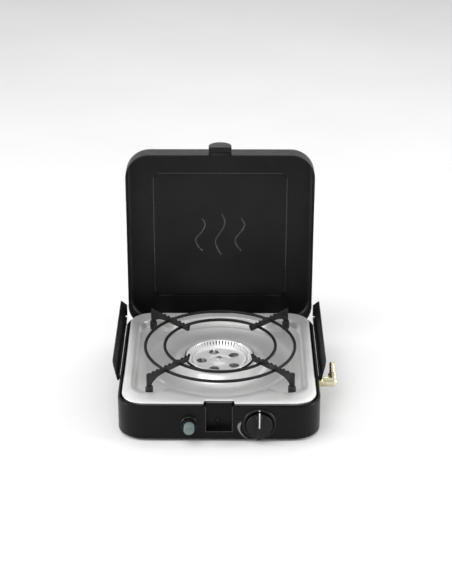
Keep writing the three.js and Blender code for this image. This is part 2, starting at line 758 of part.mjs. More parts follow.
// A blade lies along +X: a toothed top edge, an arch underneath and one leg.
function bladeOutline() {
  const outline = new THREE.Shape();
  outline.moveTo(BLADE_OUTER, PAD_Z + 3);
  outline.lineTo(BLADE_OUTER, BLADE_TOP);
  let x = BLADE_OUTER - 5;
  while (x - TOOTH_PITCH > BLADE_INNER) {
    outline.lineTo(x, BLADE_TOP);
    outline.lineTo(x - 1.5, BLADE_TOP - TOOTH_DEPTH);
    outline.lineTo(x - 4, BLADE_TOP - TOOTH_DEPTH);
    outline.lineTo(x - 5.5, BLADE_TOP - 0.4);
    x -= TOOTH_PITCH;
  }
  outline.lineTo(BLADE_INNER + 2, BLADE_TOP - 1);
  outline.lineTo(BLADE_INNER, BLADE_TOP - 4);
  outline.lineTo(BLADE_INNER + 2, BLADE_LOW - 1);
  outline.lineTo(RING_OUTER + 3, BLADE_LOW - 1);
  outline.quadraticCurveTo(149, BLADE_LOW - 2, 155.2, PAD_Z + 17.5);
  outline.lineTo(155.2, PAD_Z + 3);
  return outline;
}
function blade() {
  const plate = slab(bladeOutline(), -BLADE_THICK / 2, BLADE_THICK / 2, 6).rotateX(Math.PI / 2);
  const wires = [RING_OUTER, RING_INNER].map((r) => wireRing(r, WIRE_RADIUS + 2 * GAP));
  return cut(plate, ...wires);
}
function footCap() {
  const outer = box(FOOT_REACH - 5.8, FOOT_REACH + 5.8, -3.6, 3.6, PAD_Z + GAP, PAD_Z + 16);
  const socket = box(154.8, BLADE_OUTER + 0.4, -1.9, 1.9, PAD_Z + 2.6, PAD_Z + 18);
  return cut(outer, socket);
}
for (const [corner, sx, sy] of quarters) {
  const turn = Math.atan2(sy, sx);
  addTo(support, `blade_${corner}`, blade(), blackWire()).rotation.z = turn;
  addTo(support, `foot_cap_${corner}`, footCap(), blackRubber()).rotation.z = turn;
}

// The part's origin is the middle of its footprint, on the surface that it stands on.
const reach = new THREE.Box3().setFromObject(stove, true);
const camping_stove = new THREE.Group();
stove.position.set(-(reach.min.x + reach.max.x) / 2, -(reach.min.y + reach.max.y) / 2, -reach.min.z);
camping_stove.add(stove);

export default camping_stove;
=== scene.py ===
"""Camping stove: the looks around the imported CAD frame, in millimetres from the stove's own centre line."""

import math

import bmesh
import bpy
from mathutils import Matrix, Vector


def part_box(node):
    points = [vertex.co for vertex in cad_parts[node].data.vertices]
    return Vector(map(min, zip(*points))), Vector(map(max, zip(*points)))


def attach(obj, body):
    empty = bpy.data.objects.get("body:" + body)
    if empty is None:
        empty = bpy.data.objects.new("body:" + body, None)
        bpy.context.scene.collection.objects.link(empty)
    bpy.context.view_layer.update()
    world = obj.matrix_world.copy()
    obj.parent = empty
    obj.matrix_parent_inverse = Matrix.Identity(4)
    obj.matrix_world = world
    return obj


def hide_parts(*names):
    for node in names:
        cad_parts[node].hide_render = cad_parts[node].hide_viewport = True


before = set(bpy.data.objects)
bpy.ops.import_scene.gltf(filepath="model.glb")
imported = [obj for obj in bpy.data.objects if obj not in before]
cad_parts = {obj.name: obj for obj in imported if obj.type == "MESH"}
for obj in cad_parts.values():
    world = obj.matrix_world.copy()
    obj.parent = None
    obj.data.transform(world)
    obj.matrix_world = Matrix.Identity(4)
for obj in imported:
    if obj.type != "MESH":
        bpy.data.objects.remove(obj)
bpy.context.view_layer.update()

MM = 0.001
PI = math.pi
RIM_Z = 61.7
PLATE_Z = RIM_Z + 5.1
PAD_Z = PLATE_Z - 10
COOK_Y = 2.0
BURNER_Z = PLATE_Z + 0.8
HINGE_Y = 147.2
HINGE_Z = RIM_Z - 15.85
HINGE_X = 100
LID_OPEN = math.radians(91.6)
LID_RIM = RIM_Z + 1.2 - HINGE_Z
LID_TOP = LID_RIM + 38
KNOB_X = 63.2
PIEZO_X = -46.6
DIAL_Z = 32.2
RING_Z = RIM_Z + 24.4
SUPPORT = Matrix.Translation((1, COOK_Y - 1, 0)) @ Matrix.Rotation(math.radians(0.7), 4, "Z")
RING_OUTER = 122.5
RING_INNER = 90.7
WIRE_RADIUS = 2.5
BLADE_TOP = RIM_Z + 34
BLADE_HALF = 1.5
TOOTH_PITCH = 9
TOOTH_DEPTH = 2.3
CAP_REACH = 159.6
PLATE_SHEET = 0.8
PLATE_HOLE = 57.6
BOWL_EDGE = 119.6
WELL_WALL = 3.6
NOTCH_HALF = 23
NOTCH_REACH = 149
CASE_HALF = 160
RECESS_HALF = 20.3
RECESS_FLOOR = 18.1
CORNERS = {"front_left": (-1, -1), "front_right": (1, -1), "back_left": (-1, 1), "back_right": (1, 1)}

low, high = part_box("case_shell")
SHIFT = Vector(((low.x + high.x) / 2, (low.y + high.y) / 2, high.z - RIM_Z * MM))
STOVE = Matrix.Identity(4)
LID = Matrix.Translation((0, HINGE_Y, HINGE_Z)) @ Matrix.Rotation(-LID_OPEN, 4, "X")


# ---------- Materials ----------
def shader(name, color, roughness, metallic=0.0, specular=0.5):
    """A principled material, with its node tree and the shader to add detail to."""
    mat = bpy.data.materials.new(name)
    mat.use_nodes = True
    tree = mat.node_tree
    bsdf = tree.nodes["Principled BSDF"]
    bsdf.inputs["Base Color"].default_value = (*color, 1)
    bsdf.inputs["Roughness"].default_value = roughness
    bsdf.inputs["Metallic"].default_value = metallic
    bsdf.inputs["Specular IOR Level"].default_value = specular
    mat.diffuse_color = (*color, 1)
    return mat, tree, bsdf


def noise_at(tree, scale, detail=3, stretch=(1, 1, 1)):
    """Noise in object space. Scale is in cells per metre."""
    place = tree.nodes.new("ShaderNodeTexCoord")
    mapping = tree.nodes.new("ShaderNodeMapping")
    mapping.inputs["Scale"].default_value = stretch
    texture = tree.nodes.new("ShaderNodeTexNoise")
    texture.inputs["Scale"].default_value = scale
    texture.inputs["Detail"].default_value = detail
    tree.links.new(place.outputs["Object"], mapping.inputs["Vector"])
    tree.links.new(mapping.outputs["Vector"], texture.inputs["Vector"])
    return texture.outputs["Fac"]


def ramp(tree, fac, stops):
    node = tree.nodes.new("ShaderNodeValToRGB")
    elements = node.color_ramp.elements
    while len(elements) < len(stops):
        elements.new(0.5)
    for element, (position, color) in zip(elements, stops):
        element.position = position
        element.color = (*color, 1) if len(color) == 3 else color
    tree.links.new(fac, node.inputs["Fac"])
    return node.outputs["Color"]


def vary_color(tree, bsdf, fac, dark, light, spread=(0.3, 0.7)):
    tree.links.new(ramp(tree, fac, [(spread[0], dark), (spread[1], light)]), bsdf.inputs["Base Color"])


def vary_roughness(tree, bsdf, fac, smooth, rough):
    span = tree.nodes.new("ShaderNodeMapRange")
    span.inputs["From Min"].default_value = 0.3
    span.inputs["From Max"].default_value = 0.7
    span.inputs["To Min"].default_value = smooth
    span.inputs["To Max"].default_value = rough
    tree.links.new(fac, span.inputs["Value"])
    tree.links.new(span.outputs["Result"], bsdf.inputs["Roughness"])


def add_bump(tree, bsdf, fac, strength, distance):
    bump = tree.nodes.new("ShaderNodeBump")
    bump.inputs["Strength"].default_value = strength
    bump.inputs["Distance"].default_value = distance
    tree.links.new(fac, bump.inputs["Height"])
    tree.links.new(bump.outputs["Normal"], bsdf.inputs["Normal"])


def coated(name, tone, roughness, grain=1800, strength=0.25, specular=0.2):
    """Satin powder coat: a fine orange peel, with slow changes of tone and gloss."""
    mat, tree, bsdf = shader(name, (tone,) * 3, roughness, specular=specular)
    vary_color(tree, bsdf, noise_at(tree, 18, 4), (tone * 0.8,) * 3, (tone * 1.2, tone * 1.2, tone * 1.24))
    vary_roughness(tree, bsdf, noise_at(tree, 60, 4), roughness - 0.05, roughness + 0.06)
    add_bump(tree, bsdf, noise_at(tree, grain, 2), strength, 0.00012)
    return mat


def metal(
    name, dark, light, roughness, stretch=(1, 1, 1), scale=900, strength=0.06, spread=0.07, metallic=1.0
):
    """Bare metal with a fine grain, unless its strength is 0, faint cloudy marks and uneven polish."""
    mat, tree, bsdf = shader(name, light, roughness, metallic=metallic)
    vary_color(tree, bsdf, noise_at(tree, 14, 5), dark, light)
    vary_roughness(tree, bsdf, noise_at(tree, 20, 1, stretch), roughness - spread, roughness + spread)
    if strength:
        add_bump(tree, bsdf, noise_at(tree, scale, 2, stretch), strength, 0.0001)
    return mat


def moulded(name, dark, light, roughness, strength=0.3, specular=0.4):
    """Moulded plastic or rubber with a fine spark-eroded grain."""
    mat, tree, bsdf = shader(name, light, roughness, specular=specular)
    vary_color(tree, bsdf, noise_at(tree, 90, 3), dark, light)
    vary_roughness(tree, bsdf, noise_at(tree, 160, 3), roughness - 0.05, roughness + 0.05)
    add_bump(tree, bsdf, noise_at(tree, 3800, 2), strength, 0.00006)
    return mat


def grey(tone):
    return (tone,) * 3


LOOKS = {
    "black_coat": coated("black_powder_coat", 0.0075, 0.38),
    # A darker copy of the lid's black coat for the case, which is the same coat: painted shade for walls that
    # face the light less.
    "case_coat_painted_shade": coated("black_powder_coat_darkened_for_shade", 0.0045, 0.34, specular=0.14),
    # A lighter, glossier copy of the black coat for chosen edges and the embossed waves: the lighter tone is
    # a painted highlight.
    "coat_painted_highlight": coated("powder_coat_lightened_for_highlight", 0.024, 0.24, specular=0.6),
    "black_wire": coated("black_enamel", 0.011, 0.42, 1200, 0.3),
    "stainless": metal(
        "pressed_stainless", (0.70, 0.70, 0.695), (0.77, 0.77, 0.765), 0.32,
        strength=0, spread=0.03, metallic=0.5,
    ),
    "polished": metal(
        "polished_stainless", grey(0.84), grey(0.92), 0.22, strength=0, spread=0.04, metallic=0.4
    ),
    # Dark steel for the plate's skirt and the crown's outer side: painted shade on faces that turn away from
    # the light.
    "steel_painted_shade": metal("steel_darkened_for_shade", grey(0.10), grey(0.15), 0.35, (1, 1, 6), 700, 0.05),
    "zinc_steel": metal("zinc_plate", (0.38, 0.39, 0.4), (0.52, 0.53, 0.52), 0.36, scale=600, strength=0.12),
    "cast_alloy": metal(
        "die_cast_alloy", grey(0.5), (0.64, 0.64, 0.63), 0.5, scale=500, strength=0.3, metallic=0.4
    ),
    "brass": metal("turned_brass", (0.66, 0.60, 0.38), (0.80, 0.75, 0.54), 0.24, (3, 1, 1), 300, 0.03, 0.04),
    "black_plastic": moulded("black_moulding", grey(0.006), grey(0.009), 0.36, specular=0.22),
    "black_rubber": moulded("black_silicone", grey(0.008), grey(0.013), 0.55, 0.4, 0.3),
    "grey_button": moulded("grey_button_plastic", (0.13, 0.165, 0.165), (0.17, 0.21, 0.205), 0.38, 0.2),
    "white_mark": moulded("white_print", (0.7, 0.7, 0.69), (0.8, 0.8, 0.79), 0.5, 0.1),
    "grey_mark": moulded("grey_print", grey(0.19), grey(0.23), 0.45, 0.1),
    "ceramic_tip": moulded("glazed_insulator", (0.40, 0.39, 0.37), (0.50, 0.49, 0.46), 0.2, 0.1),
}


# ---------- Shapes, all in millimetres ----------
def solid(verts, faces):
    mesh = bpy.data.meshes.new("work")
    mesh.from_pydata([tuple(v) for v in verts], [], faces)
    bm = bmesh.new()
    bm.from_mesh(mesh)
    bmesh.ops.remove_doubles(bm, verts=bm.verts, dist=1e-4)
    bmesh.ops.recalc_face_normals(bm, faces=bm.faces)
    bm.to_mesh(mesh)
    bm.free()
    obj = bpy.data.objects.new("work", mesh)
    bpy.context.scene.collection.objects.link(obj)
    return obj


def applied(obj):
    """The object with its modifiers made real."""
    graph = bpy.context.evaluated_depsgraph_get()
    made = bpy.data.meshes.new_from_object(obj.evaluated_get(graph))
    obj.modifiers.clear()
    obj.data = made
    return obj


def carve(obj, *tools, operation="DIFFERENCE"):
    for tool in tools:
        modifier = obj.modifiers.new("carve", "BOOLEAN")
        modifier.operation = operation
        modifier.solver = "EXACT"
        modifier.object = tool
        applied(obj)
        bpy.data.objects.remove(tool)
    return obj


def softened(obj, width, segments=2, angle=32):
    modifier = obj.modifiers.new("soften", "BEVEL")
    modifier.width = width
    modifier.segments = segments
    modifier.limit_method = "ANGLE"
    modifier.angle_limit = math.radians(angle)
    modifier.miter_outer = "MITER_ARC"
    return applied(obj)


def thickened(obj, thickness):
    modifier = obj.modifiers.new("thicken", "SOLIDIFY")
    modifier.thickness = thickness
    modifier.offset = -1
    return applied(obj)


def loft(rings, closed_profile=False, caps=True):
    """Faces between rings of equal length. Each ring is closed round."""
    count = len(rings[0])
    verts = [p for ring in rings for p in ring]
    faces = []
    bands = len(rings) if closed_profile else len(rings) - 1
    for band in range(bands):
        a, b = band * count, ((band + 1) % len(rings)) * count
        for i in range(count):
            j = (i + 1) % count
            faces.append((a + i, a + j, b + j, b + i))
    if not closed_profile and caps:
        faces.append(tuple(range(count)))
        faces.append(tuple(range((len(rings) - 1) * count, len(rings) * count)))
    return solid(verts, faces)


def square_ring(half_x, half_y, radius, z, steps=14):
    """A level rectangle with round corners."""
    ring = []
    for corner in range(4):
        start = corner * PI / 2
        cx = (half_x - radius) * (1 if corner in (0, 3) else -1)
        cy = (half_y - radius) * (1 if corner < 2 else -1)
        for i in range(steps + 1):
            turn = start + i / steps * PI / 2
            ring.append((cx + radius * math.cos(turn), cy + radius * math.sin(turn), z))
    return ring


def arc(cx, cz, radius, start, end, steps=5):
    """Points of an arc, by angle in degrees."""
    angles = [math.radians(start + (end - start) * i / steps) for i in range(steps + 1)]
    return [(cx + radius * math.cos(a), cz + radius * math.sin(a)) for a in angles]


def lathe(profile, segments=64, shape=None):
    """A profile of (radius, height) points turned about Z. shape(radius, height, step) may set a radius."""
    rings = []
    for r, z in profile:
        ring = []
        for i in range(segments):
            turn = 2 * PI * i / segments
            radius = shape(r, z, i) if shape else r
            ring.append((radius * math.cos(turn), radius * math.sin(turn), z))
        rings.append(ring)
    on_axis = profile[0][0] < 1e-6 and profile[-1][0] < 1e-6
    return loft(rings, closed_profile=not on_axis, caps=False)


def prism(outline, z0, z1):
    count = len(outline)
    verts = [(x, y, z) for z in (z0, z1) for x, y in outline]
    faces = [tuple(range(count))[::-1], tuple(range(count, 2 * count))]
    faces += [(i, (i + 1) % count, count + (i + 1) % count, count + i) for i in range(count)]
    return solid(verts, faces)


def box(x0, x1, y0, y1, z0, z1):
    return prism([(x0, y0), (x1, y0), (x1, y1), (x0, y1)], z0, z1)


def rod(radius, a, b, sides=48):
    return lathe([(0, a), (radius, a), (radius, b), (0, b)], sides)


def moved(obj, matrix):
    obj.data.transform(matrix)
    return obj


def along_x(obj, x=0, y=0, z=0):
    return moved(obj, Matrix.Translation((x, y, z)) @ Matrix.Rotation(PI / 2, 4, "Y"))


def along_front(obj, x=0, z=0):
    """Turns a shape built up +Z so that it stands out of the front, where +Z becomes -Y."""
    return moved(obj, Matrix.Translation((x, 0, z)) @ Matrix.Rotation(PI / 2, 4, "X"))


def tube(points, radius, sides=16, closed=False):
    """A round bar along points."""
    points = [Vector(p) for p in points]
    rings = []
    side = None
    for i, p in enumerate(points):
        after = points[(i + 1) % len(points)] if closed or i + 1 < len(points) else p
        before = points[i - 1] if closed or i > 0 else p
        along = (after - before).normalized()
        if side is None:
            side = along.orthogonal().normalized()
        side = (side - along * side.dot(along)).normalized()
        other = along.cross(side)
        ring = []
        for k in range(sides):
            turn = 2 * PI * k / sides
            ring.append(p + side * radius * math.cos(turn) + other * radius * math.sin(turn))
        rings.append(ring)
    return loft(rings, closed_profile=closed)


def finished(obj, name, look, body, nodes=(), matrix=STOVE, angle=35):
    """Gives a shape its place in the frame, its finish and its body, and the CAD nodes that it stands for."""
    obj.name = name
    obj.data.name = name
    obj.data.transform(Matrix.Translation(SHIFT) @ Matrix.Scale(MM, 4) @ matrix)
    obj.data.polygons.foreach_set("use_smooth", [True] * len(obj.data.polygons))
    obj.data.set_sharp_from_angle(angle=math.radians(angle))
    obj.data.materials.clear()
    obj.data.materials.append(LOOKS[look])
    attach(obj, body)
    if nodes:
        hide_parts(*nodes)
    return obj


def second_look(obj, look, chosen, matrix=STOVE):
    """Another material for some faces, chosen by their centre in millimetres in the piece's own frame; here
    it paints shade or highlights into the chosen faces.
    """
    obj.data.materials.append(LOOKS[look])
    back = matrix.inverted()
    for face in obj.data.polygons:
        if chosen(back @ ((face.center - SHIFT) / MM)):
            face.material_index = 1


def refined(node, look, body, width, segments=2):
    """A copy of a CAD node with flat faces merged and its edges softened, which stands for the node."""
    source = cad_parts[node]
    bm = bmesh.new()
    bm.from_mesh(source.data)
    bmesh.ops.transform(bm, matrix=Matrix.Scale(1000, 4) @ Matrix.Translation(-SHIFT), verts=bm.verts)
    bmesh.ops.remove_doubles(bm, verts=bm.verts, dist=1e-3)
    bmesh.ops.dissolve_limit(bm, angle_limit=math.radians(1), verts=bm.verts, edges=bm.edges)
    mesh = bpy.data.meshes.new(node)
    bm.to_mesh(mesh)
    bm.free()
    obj = bpy.data.objects.new("work", mesh)
    bpy.context.scene.collection.objects.link(obj)
    softened(obj, width, segments)
    return finished(obj, node + "_shaped", look, body, [node])


# ---------- Case ----------
def case_pressing():
    """The pressed case: a turned-in flange below, straight walls and a rolled rim."""
    profile = [(10, 4.0), (1.6, 4.0)]
    profile += [(1.6 + x, 5.6 + z) for x, z in arc(0, 0, 1.6, 270, 180)][1:]
    profile += [(2.4 + x, RIM_Z - 2.4 + z) for x, z in arc(0, 0, 2.4, 180, 90, 6)]
    profile += [(3.3 + x, RIM_Z - 1.2 + z) for x, z in arc(0, 0, 1.2, 90, 0, 4)]
    profile += [(4.4, RIM_Z - 2.2), (1.2, RIM_Z - 2.6), (1.2, 6), (10, 5)]
    rings = [square_ring(CASE_HALF - i, CASE_HALF - i, max(42 - i, 6), z, 20) for i, z in profile]
    shell = loft(rings, closed_profile=True)
    reach = RECESS_HALF + 1.3
    recess = box(-reach, reach, -166, -140, RECESS_FLOOR - 1.3, RIM_Z + 2)
    notches = [
        box(x - 13.5, x + 13.5, 150, 166, HINGE_Z - 12.5, RIM_Z + 2) for x in (-HINGE_X, HINGE_X)
    ]
    holes = [
        along_front(rod(6, 150, 166), KNOB_X, DIAL_Z),
        along_front(rod(11, 150, 166), PIEZO_X, DIAL_Z),
        along_x(rod(7, 150, 166), 0, -24, DIAL_Z - 0.2),
    ]
    carve(shell, recess, *notches, *holes)
    # The case wears the darker copy of the black coat: painted shade.
    return finished(shell, "case_pressing", "case_coat_painted_shade", "case", ["case_shell"])


def recess_liner():
    """The pocket in the front wall that the flipped catch and a finger reach into."""
    top = RIM_Z - 0.4
    wall = 1.2
    outer = box(-RECESS_HALF - wall, RECESS_HALF + wall, -160.3, -143, RECESS_FLOOR - wall, top)
    inner = box(-RECESS_HALF, RECESS_HALF, -163, -144, RECESS_FLOOR, top + 2)
    liner = softened(carve(outer, inner), 0.5, 3)
    # The liner wears the darker copy of the coat, which is painted shade, and its front faces get the lighter
    # copy, a painted highlight round the pocket's mouth.
    finished(liner, "recess_liner", "case_coat_painted_shade", "case", ["recess_cup"])
    second_look(liner, "coat_painted_highlight", lambda at: at.y < -160.05)


def recess_stud():
    head = lathe([(0, 0), (4.6, 0), (4.6, 0.9), (3.9, 1.9), (2.4, 2.6), (0, 2.8)], 32)
    carve(head, box(-2.6, 2.6, -0.5, 0.5, 1.7, 4), box(-0.5, 0.5, -2.6, 2.6, 1.7, 4))
    softened(head, 0.15, 2)
    along_front(head, -2, 29)
    moved(head, Matrix.Translation((0, -144.3, 0)))
    return finished(head, "recess_stud", "black_plastic", "case", ["catch_stud"])


def rubber_feet():
    for corner, (sx, sy) in CORNERS.items():
        profile = [(0, 0.3), (3, 0.3), (3.6, 0.9), (7, 0.9)]
        profile += [(8 + x, 1.3 + z) for x, z in arc(0, 0, 1, 270, 360, 4)]
        profile += [(9, 4.2), (3, 4.3), (3, 5.2), (0, 5.2)]
        foot = lathe([(r, max(z, 0.3)) for r, z in profile], 40)
        moved(foot, Matrix.Translation((122 * sx, 122 * sy, 0)))
        finished(foot, f"foot_{corner}", "black_rubber", "case", [f"rubber_foot_{corner}"])


# ---------- Pressed top plate ----------
def rect_exit(angle, half_x, half_y, radius, centre_y=0.0):
    """How far a ray from the burner's axis runs inside a rounded rectangle."""
    c, s = math.cos(angle), math.sin(angle)
    near, far = 20.0, 260.0
    for _ in range(34):
        mid = (near + far) / 2
        x, y = abs(c * mid), abs(COOK_Y + s * mid - centre_y)
        dx, dy = x - (half_x - radius), y - (half_y - radius)
        outside = math.hypot(max(dx, 0), max(dy, 0)) + min(max(dx, dy), 0) > radius
        near, far = (near, mid) if outside else (mid, far)
    return near


def well_exit(angle):
    """How far a ray runs to the foot of the pressed well: a circle widened by four lobes."""
    c, s = math.cos(angle), math.sin(angle)
    reach = [138.0 + s]
    if abs(c) > 0.3:
        side = 138.0 / abs(c)
        if abs(COOK_Y + s * side - 3) < 96:
            reach.append(side)
    for sx, sy in CORNERS.values():
        px, py = 108 * sx, 3 + 96 * sy - COOK_Y
        ahead = c * px + s * py
        off = 900 - (px * px + py * py - ahead * ahead)
        if ahead > 0 and off > 0:
            reach.append(ahead + math.sqrt(off))
    return max(reach)


def ease(t):
    t = min(max(t, 0.0), 1.0)
    return t * t * (3 - 2 * t)


BOWL = [
    (57.0, BURNER_Z - 3.2), (59.5, BURNER_Z - 3.2), (63, BURNER_Z - 4.2), (67, BURNER_Z - 7.0),
    (71, PAD_Z + 0.4), (75, PAD_Z - 2.6), (80, PAD_Z - 4.6), (86, PAD_Z - 5.7), (93, PAD_Z - 6.1),
    (100, PAD_Z - 5.8), (106, PAD_Z - 4.9), (112, PAD_Z - 3.2), (117.4, PAD_Z - 0.9),
    (118.6, PAD_Z - 0.2), (BOWL_EDGE, PAD_Z),
]


def bowl_height(r):
    """The bowl round the burner, as a smooth curve through its points."""
    slopes = [(b[1] - a[1]) / (b[0] - a[0]) for a, b in zip(BOWL, BOWL[1:])]
    for k, ((r0, z0), (r1, z1)) in enumerate(zip(BOWL, BOWL[1:])):
        if r <= r1:
            span = r1 - r0
            t = (r - r0) / span
            first = (slopes[max(k - 1, 0)] + slopes[k]) / 2
            last = (slopes[k] + slopes[min(k + 1, len(slopes) - 1)]) / 2
            bend = (1 + 2 * t) * (1 - t) ** 2 * z0 + t * t * (3 - 2 * t) * z1
            return bend + span * (t * (1 - t) ** 2 * first + t * t * (t - 1) * last)
    return PAD_Z


def plate_angles():
    angles = [2 * PI * i / 480 for i in range(480)]
    notch = math.atan2(-NOTCH_REACH, NOTCH_HALF)
    for centre in (notch, PI - notch):
        for offset in (-0.0006, 0.0006):
            angles.append((centre + offset) % (2 * PI))
    return sorted(angles)


def plate_profile(well, edge):
    """Points of (radius, height) from the burner ring out to the foot of the plate's skirt."""
    points = []
    for i in range(49):
        r = PLATE_HOLE + (BOWL_EDGE - PLATE_HOLE) * i / 48
        points.append([r, bowl_height(r)])
    foot = well - WELL_WALL
    for i in range(1, 7):
        points.append([BOWL_EDGE + (foot - BOWL_EDGE) * i / 6, PAD_Z])
    for i in range(1, 15):
        t = i / 14
        points.append([foot + WELL_WALL * t, PAD_Z + (PLATE_Z - PAD_Z) * ease(t)])
    flat_end = edge - 1.6
    for i in range(1, 4):
        points.append([well + (flat_end - well) * i / 3, PLATE_Z])
    for x, z in arc(0, 0, 1.6, 90, 0, 5)[1:]:
        points.append([flat_end + x, PLATE_Z - 1.6 + z])
    points.append([edge, PLATE_Z - 3])
    points.append([edge, PLATE_Z - 4.9])
    return points


def dimple(x, y):
    """The small pressed mark near the plate's front left corner."""
    gap = math.hypot(x + 123, y + 113)
    return -0.9 * math.exp(-((gap / 2.6) ** 2))


def top_pressing():
    angles = plate_angles()
    wells = [well_exit(a) for a in angles]
    count = len(angles)
    smooth = []
    for i in range(count):
        near = [wells[(i + k) % count] for k in range(-2, 3)]
        smooth.append(sum(near) / 5)
    columns = []
    for angle, well in zip(angles, smooth):
        edge = rect_exit(angle, 153.2, 156, 36)
        c, s = math.cos(angle), math.sin(angle)
        if s < 0 and abs(c) * NOTCH_REACH / abs(s) < NOTCH_HALF:
            edge = NOTCH_REACH / abs(s)
        column = []
        for r, z in plate_profile(min(well, edge - 4), edge):
            x, y = c * r, COOK_Y + s * r
            column.append((x, y, z + dimple(x, y)))
        columns.append(column)
    rings = [list(ring) for ring in zip(*columns)]
    sheet = thickened(loft(rings, caps=False), PLATE_SHEET)
    finished(sheet, "top_pressing", "stainless", "case", ["top_plate"], angle=50)

    # The skirt's faces get the dark steel: painted shade under the plate's edge.
    def on_skirt(at):
        inside = rect_exit(math.atan2(at.y - COOK_Y, at.x), 150.5, 145.5, 34)
        return at.z < PLATE_Z - 1.1 and math.hypot(at.x, at.y - COOK_Y) > inside

    second_look(sheet, "steel_painted_shade", on_skirt)


# ---------- Burner ----------
SLOTS = 60


def crown():
    """The burner ring: a bright flat top over a slotted inner wall."""
    top = BURNER_Z
    profile = [(44.4, top - 11), (55.2, top - 11), (55.2, top - 1.2)]
    profile += [(54.2 + x, top - 1.0 + z) for x, z in arc(0, 0, 1.0, 0, 90, 4)]
    profile += [(51.3 + x, top - 0.9 + z) for x, z in arc(0, 0, 0.9, 90, 180, 4)]
    profile += [(50.2, top - 1.3), (50.0, top - 1.4), (46.6, top - 7.6), (46.3, top - 7.8), (44.4, top - 8.4)]
    slotted = {(50.0, round(top - 1.4, 3)), (46.6, round(top - 7.6, 3))}

    def shape(r, z, i):
        deep = (r, round(z, 3)) in slotted and i % 6 in (0, 1)
        return r + 3.6 if deep else r

    ring = moved(lathe(profile, SLOTS * 6, shape), Matrix.Translation((0, COOK_Y, 0)))
    finished(ring, "slotted_crown", "polished", "case", ["burner_crown"], angle=40)
    # The crown's outer side gets the dark steel: a painted shadow in the gap between the crown and the plate.
    second_look(ring, "steel_painted_shade", lambda at: math.hypot(at.x, at.y - COOK_Y) > 54.9 and at.z < top - 0.6)


def slot_shadow():
    """A dark ring inside the crown, behind its slots: painted shade for the dark gas chamber seen through
    them.
    """
    top = BURNER_Z
    ring = lathe([(49.6, top - 9), (53.4, top - 9), (53.4, top - 1.6), (53.2, top - 1.6)], 96)
    moved(ring, Matrix.Translation((0, COOK_Y, 0)))
    # The ring is painted shade, sitting inside the crown's own solid.
    return finished(ring, "crown_slot_painted_shade", "black_wire", "case")


def dish():
    rim = BURNER_Z - 6.4
    upper = [(0, rim - 0.4), (5, rim - 0.5), (9.5, rim - 1.1), (13.2, rim - 2.2), (16, rim - 3.3)]
    upper += [(18.5, rim - 4.0), (22, rim - 4.3), (34, rim - 4.3), (38, rim - 3.8), (41, rim - 2.6)]
    upper += [(42.6, rim - 1.2)]
    upper += [(43.6, rim - 0.2), (44.1, rim)]
    lower = [(r, z - 0.9) for r, z in reversed(upper)]
    bowl = lathe(upper + lower[:-1] + [(0, rim - 1.5)], 96)
    for i in range(5):
        turn = Matrix.Rotation(math.radians(37 + 72 * i), 4, "Z") @ Matrix.Translation((29.4, 0, 0))
        carve(bowl, moved(rod(8.4, rim - 12, rim + 2, 40), turn))
    softened(bowl, 0.35, 2, 50)
    moved(bowl, Matrix.Translation((0, COOK_Y, 0)))
    name = "burner_dish_pressing"
    return finished(bowl, name, "polished", "case", ["burner_dish"], angle=50)


def dish_fixing():
    z = BURNER_Z - 7.0
    profile = [(0, z - 0.4), (4.9, z - 0.4), (4.9, z + 1.0), (4.2, z + 2.0), (2.5, z + 2.7), (0, z + 2.9)]
    head = carve(lathe(profile, 36), box(-6, 6, -0.55, 0.55, z + 1.6, z + 5))
    softened(head, 0.15, 2)
    moved(head, Matrix.Translation((0, COOK_Y, 0)) @ Matrix.Rotation(0.6, 4, "Z"))
    return finished(head, "dish_fixing", "zinc_steel", "case", ["dish_screw"])


# ---------- Front controls ----------
def knob_collar():
    ring = lathe([(22, 160.3), (26.7, 160.3), (26.7, 161.9), (25.6, 163.3), (23.3, 163.3), (22, 162.2)], 80)
    along_front(ring, KNOB_X, DIAL_Z)
    finished(softened(ring, 0.25, 2, 20), "knob_collar", "black_plastic", "case", ["knob_bezel"])


def knob():
    """A disc with an upright grip, rounded at its ends and slightly narrower at its face."""
    face = [(20.5, 167.4), (19.6, 168.3), (17.8, 168.5), (0, 168.2)]
    disc = lathe([(0, 164.2), (19.9, 164.2), (20.5, 164.8)] + face, 72)
    ends = []
    for half, radius, depth in ((5.8, 5.5, 166.6), (5.5, 5.2, 170.5), (5.1, 4.9, 173.8), (4.4, 4.3, 175)):
        ends.append(square_ring(half, 22.6 - (5.8 - half), radius, depth, 8))
    grip = loft(ends)
    body = carve(disc, grip, operation="UNION")
    carve(body, box(-1.15, 1.15, -0.2, 21.2, 174.4, 177))
    softened(body, 0.35, 2, 35)
    along_front(body, KNOB_X, DIAL_Z)
    finished(body, "grip_knob", "black_plastic", "knob", ["gas_knob"])
    line = box(-0.95, 0.95, 0, 21, 174.2, 174.95)
    line = carve(line, box(-0.95, 0.95, 19, 22.9, 166.8, 174.7), operation="UNION")
    along_front(softened(line, 0.15, 1), KNOB_X, DIAL_Z)
    finished(line, "pointer_line", "white_mark", "knob", ["knob_pointer"])
    dot = lathe([(0, 163.0), (1.25, 163.0), (1.25, 163.45), (0, 163.5)], 24)
    along_front(moved(dot, Matrix.Translation((0, 24.6, 0))), KNOB_X, DIAL_Z)
    finished(dot, "off_mark", "white_mark", "case")


FLAME_SCALE = [
    (-28.6, 3.4, 0.3), (-30.2, 1.0, 1.5), (-31.6, -2.2, 2.4), (-32.2, -6.0, 2.1), (-31.8, -10.2, 1.6),
    (-30.2, -14.8, 1.1), (-27.6, -19.0, 0.75), (-24.4, -22.8, 0.5), (-20.4, -26.2, 0.3), (-16.0, -28.4, 0.2),
]


